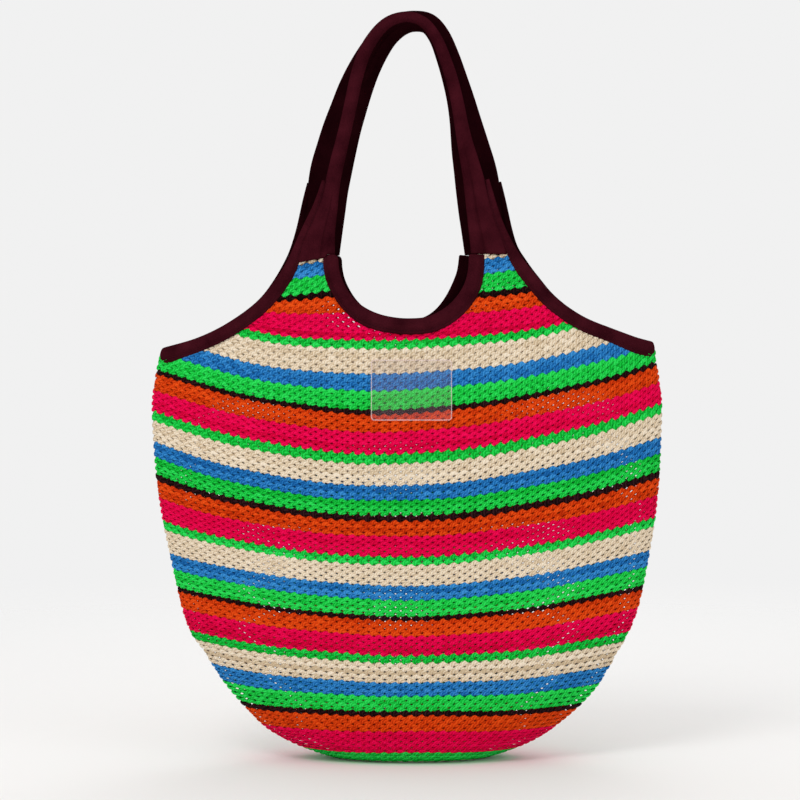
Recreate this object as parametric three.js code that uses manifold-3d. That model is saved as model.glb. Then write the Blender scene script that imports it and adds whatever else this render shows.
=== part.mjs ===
import * as THREE from "three";
import Module from "manifold-3d";

const wasm = await Module();
wasm.setup();

// Shoulder bag of striped openwork yarn, standing on its base. Millimetres, +Z up, front towards -Y,
// origin under the middle of the base.

// Driving dimensions
const CLOTH = 3.0; // thickness of the worked yarn
const GAP = 0.3; // clearance between sewn pieces
const SEAM_HALF_GAP = 0.15; // each panel stops this far from the middle plane
const PANEL_COLUMNS = 30;
const BULGE_POWER = 2.4; // how flat the middle of a level section is
const BULGE_ROUND = 0.6; // how blunt the section is where it meets the side seam
const SIDE_CLUSTER = 0.5; // how far the mesh columns crowd towards the side seams
const HORN_TOP = { left: 429.5, right: 431.5 }; // where the yarn ends inside a handle's foot
const PATCH = { left: -31, right: 36.5, low: 289, high: 340, thick: 1.0, corner: 3.0, lift: 0.4 };
const BINDING = { thick: 6.6, power: 2.5, around: 10 };
const NECK_BINDING = { thick: 8.6, step: 8.0 };
const ARM_STEP = 7.5;
const ARM_TIP_THICK = 4.2; // thickness of an armhole binding where it runs out on a handle
const WEB_SHARE = 0.72; // thickness of a handle's web as a share of its inner fold's

// Part of each panel that lies on the ground: level of the middle of the cloth, distance from the base
// seam, and both ends on that seam.
const FLOOR = [
  { z: 1.5, deep: 0, left: -38, right: 42 },
  { z: 1.5, deep: 10, left: -48, right: 52 },
  { z: 1.5, deep: 19, left: -55, right: 59 },
  { z: 1.5, deep: 27, left: -61, right: 65 },
];

// Level sections of a panel above the ground: half depth of the bag and the two side seams.
const LEVELS = [
  { z: 1.5, deep: 27, left: -61, right: 65 },
  { z: 2.2, deep: 31, left: -66, right: 70 },
  { z: 4, deep: 35.5, left: -72.5, right: 76.5 },
  { z: 7, deep: 39.6, left: -81.5, right: 85.5 },
  { z: 11, deep: 43, left: -92, right: 96 },
  { z: 17, deep: 46.2, left: -105, right: 109 },
  { z: 26, deep: 49, left: -119.5, right: 123 },
  { z: 40, deep: 51.4, left: -134.5, right: 140.5 },
  { z: 57, deep: 53.2, left: -149.5, right: 157 },
  { z: 75, deep: 54.4, left: -162.5, right: 168.5 },
  { z: 90, deep: 55, left: -171.5, right: 177 },
  { z: 108, deep: 55.3, left: -184, right: 187 },
  { z: 128, deep: 55.2, left: -191, right: 194.5 },
  { z: 150, deep: 54.6, left: -196, right: 199.5 },
  { z: 180, deep: 52.8, left: -202.5, right: 205 },
  { z: 210, deep: 50.2, left: -208.5, right: 209.5 },
  { z: 240, deep: 47.2, left: -212.5, right: 212.3 },
  { z: 270, deep: 44.2, left: -214.8, right: 213.6 },
  { z: 300, deep: 41.4, left: -216, right: 214.2 },
  { z: 325, deep: 39, left: -213, right: 211.5 },
  { z: 347, deep: 37, left: -209.5, right: 208.5 },
  { z: 375, deep: 34.6, left: -209.5, right: 208.5 },
  { z: 405, deep: 32, left: -209.5, right: 208.5 },
  { z: 440, deep: 29.2, left: -209.5, right: 208.5 },
  { z: 480, deep: 26.2, left: -209.5, right: 208.5 },
  { z: 520, deep: 23.4, left: -209.5, right: 208.5 },
];

// Soft dents (negative) and swells of each panel: where, how far they reach across and up, how deep.
const FRONT_FOLDS = [
  { x: -62, z: 330, wide: 26, tall: 70, deep: -2.6 },
  { x: 70, z: 322, wide: 30, tall: 62, deep: -3.0 },
  { x: 6, z: 250, wide: 60, tall: 50, deep: 2.2 },
  { x: -128, z: 215, wide: 40, tall: 60, deep: 2.4 },
  { x: 140, z: 150, wide: 34, tall: 55, deep: -2.2 },
  { x: -60, z: 92, wide: 46, tall: 34, deep: -1.8 },
  { x: 72, z: 66, wide: 40, tall: 26, deep: 1.8 },
];
const BACK_FOLDS = [
  { x: -70, z: 318, wide: 30, tall: 66, deep: -3.0 },
  { x: 58, z: 334, wide: 26, tall: 60, deep: -2.2 },
  { x: -20, z: 240, wide: 64, tall: 46, deep: 2.4 },
  { x: 120, z: 200, wide: 40, tall: 60, deep: 2.2 },
  { x: -136, z: 140, wide: 36, tall: 50, deep: -2.4 },
  { x: 40, z: 84, wide: 44, tall: 32, deep: -1.8 },
];

// Armhole edges, from the side corner to the binding's tip on the handles: front and back positions,
// level and width of the binding.
const ARM_LEFT = [
  { front: -194, back: -194, z: 346.2, wide: 13.5 },
  { front: -177, back: -178, z: 351.9, wide: 12.2 },
  { front: -158, back: -160, z: 360.3, wide: 12 },
  { front: -142, back: -144.5, z: 369.8, wide: 12 },
  { front: -128.4, back: -131, z: 379.5, wide: 12 },
  { front: -116.5, back: -119.5, z: 390.6, wide: 12 },
  { front: -106.3, back: -110, z: 403.8, wide: 12 },
  { front: -98.4, back: -103, z: 416.5, wide: 11 },
  { front: -93, back: -97.5, z: 431, wide: 8.6 },
  { front: -85, back: -92, z: 450.5, wide: 7.4 },
  { front: -77.3, back: -89, z: 467.5, wide: 6 },
  { front: -73.2, back: -86.6, z: 480, wide: 4.8 },
  { front: -70.6, back: -84.6, z: 490, wide: 3.4 },
];
const ARM_RIGHT = [
  { front: 192, back: 192, z: 351.6, wide: 13.5 },
  { front: 171, back: 173, z: 360, wide: 12.2 },
  { front: 149, back: 151, z: 368.5, wide: 12 },
  { front: 134.3, back: 137, z: 377, wide: 12 },
  { front: 121.1, back: 124.5, z: 386.8, wide: 12 },
  { front: 113, back: 116.5, z: 394.8, wide: 12 },
  { front: 105, back: 109, z: 404.3, wide: 12 },
  { front: 97, back: 101.5, z: 414, wide: 11.5 },
  { front: 90.4, back: 95.5, z: 423.8, wide: 10.4 },
  { front: 85.2, back: 90, z: 434, wide: 8.6 },
  { front: 77.6, back: 85.8, z: 450.5, wide: 7.2 },
  { front: 72, back: 82.6, z: 467.5, wide: 6 },
  { front: 68.9, back: 80.2, z: 480.3, wide: 4.8 },
  { front: 66.4, back: 78.2, z: 491, wide: 3.4 },
];
// Where each armhole edge reaches its side seam.
const CORNER = { left: { x: -209.5, z: 344 }, right: { x: 208.5, z: 348.3 } };

// Necklines, left to right.
const NECK_FRONT = [
  { x: -65, z: 427.6, wide: 13 },
  { x: -64.6, z: 418.2, wide: 13 },
  { x: -62.5, z: 408, wide: 13 },
  { x: -57.8, z: 397.8, wide: 13 },
  { x: -50.2, z: 386.7, wide: 13 },
  { x: -39.1, z: 377.4, wide: 14 },
  { x: -25.5, z: 371.4, wide: 14 },
  { x: -11, z: 368.5, wide: 13.8 },
  { x: 2.6, z: 367.8, wide: 13.8 },
  { x: 17, z: 369.1, wide: 14 },
  { x: 29.4, z: 374.1, wide: 14.4 },
  { x: 40.3, z: 382, wide: 14.4 },
  { x: 48.9, z: 392.1, wide: 14.4 },
  { x: 54.5, z: 403, wide: 14.3 },
  { x: 56.9, z: 414.8, wide: 13.6 },
  { x: 57.4, z: 427.6, wide: 13 },
];
const NECK_BACK = [
  { x: -63, z: 427.6, wide: 13 },
  { x: -62.8, z: 418.2, wide: 13 },
  { x: -60.8, z: 407.5, wide: 13 },
  { x: -56.4, z: 397, wide: 13 },
  { x: -49.4, z: 386.2, wide: 13 },
  { x: -39.8, z: 377, wide: 13 },
  { x: -28, z: 370.6, wide: 13 },
  { x: -15.5, z: 367.2, wide: 13 },
  { x: -3.5, z: 366, wide: 13 },
  { x: 9, z: 367, wide: 13 },
  { x: 20.2, z: 371.2, wide: 13 },
  { x: 29.6, z: 378.6, wide: 13 },
  { x: 37.4, z: 388.8, wide: 13 },
  { x: 43.6, z: 400.6, wide: 13 },
  { x: 48.4, z: 413.5, wide: 13 },
  { x: 50.4, z: 427.6, wide: 13 },
];

// Handles, left foot to right foot: middle of the strip, its depth in the bag, its width and thickness,
// and how far the strip has closed from a flat web with an inner fold (0) to a roll (1).
const HANDLE_FRONT = [
  { x: -77, z: 419, y: -28.6, wide: 31, thick: 8.4, roll: 0 },
  { x: -75.4, z: 433.5, y: -27.6, wide: 28.5, thick: 8.4, roll: 0 },
  { x: -71.6, z: 450.5, y: -26.2, wide: 21.5, thick: 8.6, roll: 0.15 },
  { x: -67, z: 467.5, y: -25, wide: 16, thick: 9.4, roll: 0.45 },
  { x: -64.6, z: 480.3, y: -24, wide: 13.4, thick: 10.4, roll: 0.8 },
  { x: -62.3, z: 493, y: -23, wide: 12.4, thick: 11.4, roll: 1 },
  { x: -58.5, z: 510, y: -21.6, wide: 12, thick: 12, roll: 1 },
  { x: -53.9, z: 529, y: -20, wide: 11.2, thick: 12.4, roll: 1 },
  { x: -49, z: 550.8, y: -18.2, wide: 10.9, thick: 12.8, roll: 1 },
  { x: -43.9, z: 575, y: -16.6, wide: 11, thick: 13, roll: 1 },
  { x: -37.2, z: 596.7, y: -15.4, wide: 11, thick: 13, roll: 1 },
  { x: -28, z: 612.4, y: -14.6, wide: 10.4, thick: 13, roll: 1 },
  { x: -17.5, z: 623, y: -14.2, wide: 9.6, thick: 13, roll: 1 },
  { x: -5.6, z: 627.6, y: -14, wide: 9, thick: 13, roll: 1 },
  { x: 5.4, z: 627, y: -14, wide: 8.9, thick: 13, roll: 1 },
  { x: 15.6, z: 621.2, y: -14.2, wide: 9, thick: 13, roll: 1 },
  { x: 24.6, z: 608.4, y: -14.6, wide: 9.4, thick: 13, roll: 1 },
  { x: 31.5, z: 591.4, y: -15.6, wide: 10, thick: 12.8, roll: 1 },
  { x: 37.2, z: 573.8, y: -16.8, wide: 10.4, thick: 12.6, roll: 1 },
  { x: 41.4, z: 555.9, y: -18, wide: 10.8, thick: 12.4, roll: 1 },
  { x: 44.6, z: 538, y: -19.4, wide: 11.6, thick: 12, roll: 1 },
  { x: 47.6, z: 523, y: -20.6, wide: 13, thick: 11.6, roll: 0.9 },
  { x: 51.4, z: 507, y: -21.8, wide: 15.4, thick: 10.8, roll: 0.7 },
  { x: 54.8, z: 492, y: -23, wide: 17.6, thick: 10, roll: 0.45 },
  { x: 57.2, z: 479, y: -24, wide: 19.4, thick: 9.2, roll: 0.25 },
  { x: 59.6, z: 465.5, y: -25, wide: 21.4, thick: 8.8, roll: 0.1 },
  { x: 62.8, z: 450.5, y: -26.2, wide: 24.6, thick: 8.6, roll: 0 },
  { x: 66.6, z: 434, y: -27.6, wide: 29, thick: 8.4, roll: 0 },
  { x: 68.6, z: 420, y: -28.4, wide: 31, thick: 8.4, roll: 0 },
];
const HANDLE_BACK = [
  { x: -78, z: 419, y: 28.6, wide: 36, thick: 8.4, roll: 0 },
  { x: -75.6, z: 433.5, y: 27.6, wide: 35, thick: 8.4, roll: 0 },
  { x: -72.6, z: 450.5, y: 26.2, wide: 33.6, thick: 8.2, roll: 0 },
  { x: -70.2, z: 467.5, y: 25, wide: 33.6, thick: 8, roll: 0 },
  { x: -68.5, z: 484.5, y: 23.6, wide: 35, thick: 7.8, roll: 0 },
  { x: -65.5, z: 501.5, y: 22.4, wide: 35.8, thick: 7.6, roll: 0 },
  { x: -61.2, z: 518.5, y: 21, wide: 34.4, thick: 7.6, roll: 0 },
  { x: -56.5, z: 535.5, y: 19.6, wide: 32.8, thick: 7.6, roll: 0.05 },
  { x: -50.8, z: 552.5, y: 18.4, wide: 31, thick: 7.8, roll: 0.1 },
  { x: -44.8, z: 569.5, y: 17.2, wide: 29.4, thick: 8.2, roll: 0.2 },
  { x: -37.4, z: 586.5, y: 16.2, wide: 27, thick: 8.8, roll: 0.3 },
  { x: -28.4, z: 602.5, y: 15.4, wide: 24.6, thick: 9.4, roll: 0.45 },
  { x: -18.4, z: 615.4, y: 14.8, wide: 22, thick: 10, roll: 0.6 },
  { x: -6.6, z: 624, y: 14.4, wide: 19.6, thick: 10.6, roll: 0.8 },
  { x: 5, z: 627, y: 14.2, wide: 18, thick: 11, roll: 1 },
  { x: 17.6, z: 624.8, y: 14.2, wide: 17.8, thick: 11, roll: 1 },
  { x: 26.8, z: 613.8, y: 14.4, wide: 18.6, thick: 10.8, roll: 0.9 },
  { x: 33.8, z: 597, y: 15, wide: 20, thick: 10.2, roll: 0.75 },
  { x: 39.8, z: 578.6, y: 16, wide: 21.4, thick: 9.4, roll: 0.55 },
  { x: 44.8, z: 561, y: 17.2, wide: 23.6, thick: 8.6, roll: 0.35 },
  { x: 48.9, z: 543, y: 18.6, wide: 27, thick: 8, roll: 0.15 },
  { x: 53.4, z: 520, y: 20.4, wide: 32.8, thick: 7.6, roll: 0 },
  { x: 57.3, z: 501.5, y: 22, wide: 36.4, thick: 7.6, roll: 0 },
  { x: 59.9, z: 484.5, y: 23.4, wide: 37.8, thick: 7.8, roll: 0 },
  { x: 61.4, z: 467.5, y: 24.8, wide: 36.6, thick: 8, roll: 0 },
  { x: 64, z: 450.5, y: 26.2, wide: 36.6, thick: 8.2, roll: 0 },
  { x: 66.6, z: 433.5, y: 27.6, wide: 36.8, thick: 8.4, roll: 0 },
  { x: 68.8, z: 419, y: 28.6, wide: 37, thick: 8.4, roll: 0 },
];
// Section of a handle foot, inner edge (-1) to outer edge (1): half thickness as a share of the strip's.
const FOOT_SECTION = [
  { across: -1, half: 0 },
  { across: -0.93, half: 0.72 },
  { across: -0.7, half: 1 },
  { across: -0.3, half: 0.96 },
  { across: -0.18, half: WEB_SHARE },
  { across: 0.35, half: WEB_SHARE },
  { across: 0.74, half: WEB_SHARE },
  { across: 0.94, half: 0.56 },
  { across: 1, half: 0 },
];
// Lower edge of each handle: ends of the web and the level where the inner fold meets the neck binding.
const HEM = {
  left: { outer: 420.5, inner: 425.5, step: -68.5, fold: 428.2 },
  right: { outer: 428.0, inner: 428.4, step: 61.5, fold: 428.4 },
};

const BURGUNDY = { color: 0x371320, roughness: 0.85 };

// Smooth curve through rows, never passing a row's value between two rows.
function smoothColumn(rows, key, name) {
  const n = rows.length;
  const slope = [];
  for (let i = 0; i + 1 < n; i++)
    slope.push((rows[i + 1][name] - rows[i][name]) / (rows[i + 1][key] - rows[i][key]));
  const tangent = [slope[0]];
  for (let i = 1; i + 1 < n; i++) {
    const a = slope[i - 1];
    const b = slope[i];
    tangent.push(a * b <= 0 ? 0 : (2 * a * b) / (a + b));
  }
  tangent.push(slope[n - 2]);
  return (at) => {
    let i = 0;
    while (i < n - 2 && at > rows[i + 1][key]) i++;
    const h = rows[i + 1][key] - rows[i][key];
    const t = Math.min(Math.max((at - rows[i][key]) / h, 0), 1);
    const t2 = t * t;
    const t3 = t2 * t;
    return (
      (2 * t3 - 3 * t2 + 1) * rows[i][name] +
      (t3 - 2 * t2 + t) * h * tangent[i] +
      (3 * t2 - 2 * t3) * rows[i + 1][name] +
      (t3 - t2) * h * tangent[i + 1]
    );
  };
}
const deepAt = smoothColumn(LEVELS, "z", "deep");
const leftAt = smoothColumn(LEVELS, "z", "left");
const rightAt = smoothColumn(LEVELS, "z", "right");

function bulge(share) {
  const s = Math.min(Math.abs(share), 1);
  return Math.pow(1 - Math.pow(s, BULGE_POWER), BULGE_ROUND);
}

// Distance of the middle of a panel from the bag's middle plane.
function depthAt(folds, x, z) {
  const left = leftAt(z);
  const right = rightAt(z);
  const share = bulge((2 * x - left - right) / (right - left));
  let depth = deepAt(z) * share;
  for (const f of folds) {
    const reach = ((x - f.x) / f.wide) ** 2 + ((z - f.z) / f.tall) ** 2;
    depth += f.deep * Math.exp(-reach) * Math.min(share * 2, 1);
  }
  return depth;
}

function surfacePoint(side, folds, x, z) {
  return new THREE.Vector3(x, side * depthAt(folds, x, z), z);
}

function surfaceNormal(side, folds, x, z) {
  const step = 0.5;
  const slopeX = (depthAt(folds, x + step, z) - depthAt(folds, x - step, z)) / (2 * step);
  const slopeZ = (depthAt(folds, x, z + step) - depthAt(folds, x, z - step)) / (2 * step);
  return new THREE.Vector3(-slopeX, side, -slopeZ).normalize();
}

// A closed solid from points and triangles, turned to face outwards.
function solidFrom(points, faces) {
  const vertProperties = new Float32Array(points.flatMap((p) => [p.x, p.y, p.z]));
  const make = (list) =>
    new wasm.Manifold(
      new wasm.Mesh({ numProp: 3, vertProperties, triVerts: new Uint32Array(list) }),
    );
  const made = make(faces);
  if (made.volume() > 0) return made;
  const turned = [];
  for (let i = 0; i < faces.length; i += 3) turned.push(faces[i], faces[i + 2], faces[i + 1]);
  return make(turned);
}

// The largest body of a cut solid.
function largest(solid) {
  return solid.decompose().reduce((a, b) => (a.volume() > b.volume() ? a : b));
}

// A slab of even thickness on both sides of a grid of points with normals.
function slab(grid, thick) {
  const rows = grid.length;
  const columns = grid[0].length;
  const points = [];
  for (const sign of [1, -1])
    for (const row of grid)
      for (const cell of row)
        points.push(cell.point.clone().addScaledVector(cell.normal, (sign * thick) / 2));
  const under = rows * columns;
  const at = (i, j) => i * columns + j;
  const faces = [];
  for (let i = 0; i + 1 < rows; i++)
    for (let j = 0; j + 1 < columns; j++) {
      const a = at(i, j);
      const b = at(i, j + 1);
      const c = at(i + 1, j + 1);
      const d = at(i + 1, j);
      faces.push(a, b, c, a, c, d);
      faces.push(under + a, under + c, under + b, under + a, under + d, under + c);
    }
  const rim = [];
  for (let j = 0; j + 1 < columns; j++) rim.push(at(0, j));
  for (let i = 0; i + 1 < rows; i++) rim.push(at(i, columns - 1));
  for (let j = columns - 1; j > 0; j--) rim.push(at(rows - 1, j));
  for (let i = rows - 1; i > 0; i--) rim.push(at(i, 0));
  rim.forEach((a, k) => {
    const b = rim[(k + 1) % rim.length];
    faces.push(a, under + a, b, b, under + a, under + b);
  });
  return solidFrom(points, faces);
}

// The grid of one panel, base seam first; it runs past the shoulder tops and is cut there.
function panelGrid(side, folds) {
  const rows = [...FLOOR, ...LEVELS.slice(1, -2)];
  const columnShare = (j) => {
    const s = (2 * j) / PANEL_COLUMNS - 1;
    return (1 - SIDE_CLUSTER) * s + SIDE_CLUSTER * Math.sin((Math.PI / 2) * s);
  };
  const points = rows.map((row, i) =>
    Array.from({ length: PANEL_COLUMNS + 1 }, (_, j) => {
      const share = columnShare(j);
      const x = (row.left + row.right) / 2 + (share * (row.right - row.left)) / 2;
      if (i < FLOOR.length) return new THREE.Vector3(x, side * row.deep * bulge(share), row.z);
      return surfacePoint(side, folds, x, row.z);
    }),
  );
  const last = rows.length - 1;
  return points.map((row, i) =>
    row.map((point, j) => {
      const along = points[i][Math.min(j + 1, PANEL_COLUMNS)]
        .clone()
        .sub(points[i][Math.max(j - 1, 0)]);
      const up = points[Math.min(i + 1, last)][j].clone().sub(points[Math.max(i - 1, 0)][j]);
      const normal = along.cross(up).normalize().multiplyScalar(-side);
      if (j === 0 || j === PANEL_COLUMNS) normal.setY(0).normalize();
      if (i < FLOOR.length) normal.set(0, 0, -1);
      return { point, normal };
    }),
  );
}

// Positions along smooth curves through rows, this many to a span.
function smoothRows(rows, names, perSpan) {
  const out = [];
  for (let i = 0; i + 1 < rows.length; i++)
    for (let k = 0; k < perSpan || (i + 2 === rows.length && k === perSpan); k++) {
      const t = k / perSpan;
      const p0 = rows[Math.max(i - 1, 0)];
      const p1 = rows[i];
      const p2 = rows[i + 1];
      const p3 = rows[Math.min(i + 2, rows.length - 1)];
      const row = {};
      for (const name of names)
        row[name] =
          0.5 *
          (2 * p1[name] +
            (p2[name] - p0[name]) * t +
            (2 * p0[name] - 5 * p1[name] + 4 * p2[name] - p3[name]) * t * t +
            (3 * p1[name] - p0[name] - 3 * p2[name] + p3[name]) * t * t * t);
      out.push(row);
    }
  return out;
}

// The outline that a panel is cut to, seen from the front.
function panelOutline(armKey, neck, grow) {
  const arm = (rows, corner) =>
    smoothRows([...rows].map((r) => ({ x: r[armKey], z: r.z })), ["x", "z"], 3).filter(
      (r) => r.z < corner,
    );
  const far = 300;
  const low = -20;
  const right = arm(ARM_RIGHT, HORN_TOP.right);
  const left = arm(ARM_LEFT, HORN_TOP.left);
  const scoop = smoothRows(neck, ["x", "z"], 2);
  const points = [
    [-far, low],
    [far, low],
    [far, CORNER.right.z],
    [CORNER.right.x, CORNER.right.z],
    ...right.map((r) => [r.x, r.z]),
    [right[right.length - 1].x - 1, HORN_TOP.right],
    [neck[neck.length - 1].x, HORN_TOP.right],
    ...scoop.reverse().map((r) => [r.x, r.z]),
    [neck[0].x, HORN_TOP.left],
    [left[left.length - 1].x + 1, HORN_TOP.left],
    ...left.reverse().map((r) => [r.x, r.z]),
    [CORNER.left.x, CORNER.left.z],
    [-far, CORNER.left.z],
  ];
  return new wasm.CrossSection([points], "NonZero").offset(grow, "Miter");
}

// A panel, or with grow the room it needs in its neighbours.
function panelSolid(side, folds, armKey, neck, grow) {
  const half = 120;
  const cutter = panelOutline(armKey, neck, grow)
    .extrude(2 * half)
    .rotate([90, 0, 0])
    .translate([0, half, 0]);
  const past = grow > 0 ? -GAP : SEAM_HALF_GAP;
  const sheet = slab(panelGrid(side, folds), CLOTH + 2 * grow);
  return sheet.intersect(cutter).trimByPlane([0, side, 0], past);
}

// Rings of a swept bar: stations with a place, a tangent, a flat direction and two sizes. With grow it
// is larger all round and at both ends.
function barRings(stations, power, around, grow) {
  const last = stations.length - 1;
  return stations.map((s, i) => {
    const past = i === 0 ? -grow : i === last ? grow : 0;
    const across = new THREE.Vector3().crossVectors(s.tangent, s.normal).normalize();
    const normal = new THREE.Vector3().crossVectors(across, s.tangent).normalize();
    return Array.from({ length: around }, (_, k) => {
      const angle = (2 * Math.PI * (k + 0.5)) / around;
      const c = Math.cos(angle);
      const n = Math.sin(angle);
      const reach = Math.pow(Math.pow(Math.abs(c), power) + Math.pow(Math.abs(n), power), -1 / power);
      return s.place
        .clone()
        .addScaledVector(s.tangent, past)
        .addScaledVector(across, (s.wide / 2 + grow) * reach * c)
        .addScaledVector(normal, (s.thick / 2 + grow) * reach * n);
    });
  });
}

function loft(rings) {
  const around = rings[0].length;
  const points = rings.flat();
  const middle = (ring) =>
    ring.reduce((sum, p) => sum.add(p), new THREE.Vector3()).multiplyScalar(1 / around);
  const first = points.length;
  points.push(middle(rings[0]), middle(rings[rings.length - 1]));
  const end = (rings.length - 1) * around;
  const faces = [];
  for (let i = 0; i + 1 < rings.length; i++)
    for (let k = 0; k < around; k++) {
      const a = i * around + k;
      const b = i * around + ((k + 1) % around);
      faces.push(a, b, a + around, b, b + around, a + around);
    }
  for (let k = 0; k < around; k++) {
    faces.push(first, (k + 1) % around, k);
    faces.push(first + 1, end + k, end + ((k + 1) % around));
  }
  return solidFrom(points, faces);
}

// Even steps along a dense line of stations, each column carried along.
function evenSteps(line, step) {
  const run = [0];
  for (let i = 1; i < line.length; i++)
    run.push(run[i - 1] + line[i].place.distanceTo(line[i - 1].place));
  const total = run[run.length - 1];
  const count = Math.max(2, Math.round(total / step));
  const out = [];
  let i = 0;
  for (let k = 0; k <= count; k++) {
    const at = (total * k) / count;
    while (i < line.length - 2 && run[i + 1] < at) i++;
    const t = (at - run[i]) / (run[i + 1] - run[i]);
    const row = {};
    for (const name of Object.keys(line[i])) {
      const a = line[i][name];
      const b = line[i + 1][name];
      row[name] = a.isVector3 ? a.clone().lerp(b, t) : a + (b - a) * t;
    }
    out.push(row);
  }
  return out;
}

function addTangents(stations) {
  const last = stations.length - 1;
  stations.forEach((s, i) => {
    s.tangent = stations[Math.min(i + 1, last)].place
      .clone()
      .sub(stations[Math.max(i - 1, 0)].place)
      .normalize();
  });
  return stations;
}

// Softens kinks of a line of places.
function relax(stations, rounds) {
  for (let n = 0; n < rounds; n++) {
    const places = stations.map((s) => s.place.clone());
    for (let i = 1; i + 1 < stations.length; i++)
      stations[i].place
        .copy(places[i])
        .multiplyScalar(0.5)
        .addScaledVector(places[i - 1], 0.25)
        .addScaledVector(places[i + 1], 0.25);
  }
  return stations;
}

// One armhole binding: up the front, round the side corner, up the back.
function armStations(rows, corner) {
  const sides = [
    { side: -1, folds: FRONT_FOLDS, key: "front" },
    { side: 1, folds: BACK_FOLDS, key: "back" },
  ];
  const halves = sides.map(({ side, folds, key }) => {
    const dense = smoothRows(
      rows.map((r) => ({ x: r[key], z: r.z, wide: r.wide })),
      ["x", "z", "wide"],
      5,
    );
    const start = dense[0];
    const turn = [1, 0.999, 0.99, 0.96, 0.9, 0.8, 0.65, 0.5, 0.3].map((t) => ({
      x: start.x + (corner.x - start.x) * t,
      z: start.z + (corner.z - start.z) * t,
      wide: start.wide + (15 - start.wide) * t,
    }));
    const tipLevel = rows[rows.length - 1].z;
    return [...turn, ...dense].map((r) => {
      const fade = Math.min(Math.max((tipLevel - r.z) / 60, 0), 1);
      return {
        place: surfacePoint(side, folds, r.x, r.z),
        normal: surfaceNormal(side, folds, r.x, r.z),
        wide: r.wide,
        thick: ARM_TIP_THICK + (BINDING.thick - ARM_TIP_THICK) * fade,
      };
    });
  });
  const line = [...halves[0].reverse(), ...halves[1].slice(1)];
  return addTangents(relax(evenSteps(line, ARM_STEP), 1));
}

function neckStations(side, folds, rows) {
  const line = smoothRows(rows, ["x", "z", "wide"], 6).map((r) => ({
    place: surfacePoint(side, folds, r.x, r.z),
    normal: surfaceNormal(side, folds, r.x, r.z),
    wide: r.wide,
    thick: NECK_BINDING.thick,
  }));
  return addTangents(evenSteps(line, NECK_BINDING.step));
}

// A handle: its section changes from a foot's to a roll's along the rows.
function handleSolid(rows) {
  const places = rows.map((r) => new THREE.Vector3(r.x, r.y, r.z));
  const rings = rows.map((r, i) => {
    const tangent = places[Math.min(i + 1, rows.length - 1)]
      .clone()
      .sub(places[Math.max(i - 1, 0)])
      .normalize();
    const outward = new THREE.Vector3(-tangent.z, 0, tangent.x).normalize();
    const face = new THREE.Vector3().crossVectors(outward, tangent).normalize();
    const half = (cell) => {
      const round = Math.pow(1 - Math.pow(Math.abs(cell.across), 2.3), 1 / 2.3);
      return ((cell.half * (1 - r.roll) + round * r.roll) * r.thick) / 2;
    };
    const at = (cell, sign) =>
      places[i]
        .clone()
        .addScaledVector(outward, (cell.across * r.wide) / 2)
        .addScaledVector(face, sign * half(cell));
    return [
      ...FOOT_SECTION.map((cell) => at(cell, 1)),
      ...FOOT_SECTION.slice(1, -1)
        .reverse()
        .map((cell) => at(cell, -1)),
    ];
  });
  return loft(rings);
}

// What lies below a handle's lower edge, removed from it.
function hemCutter() {
  const low = 380;
  const far = 150;
  const make = (side, hem) => {
    const points = [
      [side * far, low],
      [0, low],
      [0, hem.fold],
      [hem.step, hem.fold],
      [hem.step, hem.inner],
      [side * 95, hem.outer],
      [side * far, hem.outer],
    ];
    return new wasm.CrossSection([side > 0 ? points.reverse() : points], "NonZero");
  };
  return make(-1, HEM.left)
    .add(make(1, HEM.right))
    .extrude(200)
    .rotate([90, 0, 0])
    .translate([0, 100, 0]);
}

// The clear patch follows the front panel just clear of its yarn.
function patchSolid() {
  const columns = 12;
  const rows = 8;
  const lift = CLOTH / 2 + PATCH.lift + PATCH.thick / 2;
  const grid = Array.from({ length: rows + 1 }, (_, i) =>
    Array.from({ length: columns + 1 }, (_, j) => {
      const x = PATCH.left + ((PATCH.right - PATCH.left) * j) / columns;
      const z = PATCH.low + ((PATCH.high - PATCH.low) * i) / rows;
      const normal = surfaceNormal(-1, FRONT_FOLDS, x, z);
      const point = surfacePoint(-1, FRONT_FOLDS, x, z).addScaledVector(normal, lift);
      return { point, normal };
    }),
  );
  const inset = PATCH.corner;
  const shape = new wasm.CrossSection(
    [
      [
        [PATCH.left + inset, PATCH.low + inset],
        [PATCH.right - inset, PATCH.low + inset],
        [PATCH.right - inset, PATCH.high - inset],
        [PATCH.left + inset, PATCH.high - inset],
      ],
    ],
    "NonZero",
  ).offset(inset - 0.05, "Round", 2, 20);
  return slab(grid, PATCH.thick).intersect(shape.extrude(200).rotate([90, 0, 0]).translate([0, 100, 0]));
}

const group = new THREE.Group();

function add(name, solid, look) {
  const made = solid.getMesh();
  const geometry = new THREE.BufferGeometry();
  geometry.setAttribute("position", new THREE.BufferAttribute(made.vertProperties, 3));
  geometry.setIndex(new THREE.BufferAttribute(made.triVerts, 1));
  const material = new THREE.MeshStandardMaterial({
    color: look.color,
    roughness: look.roughness,
    metalness: 0,
  });
  const mesh = new THREE.Mesh(geometry, material);
  mesh.name = name;
  group.add(mesh);
}

const panels = [
  { name: "front", side: -1, folds: FRONT_FOLDS, key: "front", neck: NECK_FRONT },
  { name: "back", side: 1, folds: BACK_FOLDS, key: "back", neck: NECK_BACK },
];
const rooms = panels.map((p) => panelSolid(p.side, p.folds, p.key, p.neck, GAP));
const arms = [
  { name: "arm_binding_left", stations: armStations(ARM_LEFT, CORNER.left) },
  { name: "arm_binding_right", stations: armStations(ARM_RIGHT, CORNER.right) },
];
const armBar = (arm, grow) => loft(barRings(arm.stations, BINDING.power, BINDING.around, grow));
const necks = panels.map((p) => neckStations(p.side, p.folds, p.neck));
const neckBar = (stations, grow) => loft(barRings(stations, BINDING.power, BINDING.around, grow));

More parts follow.
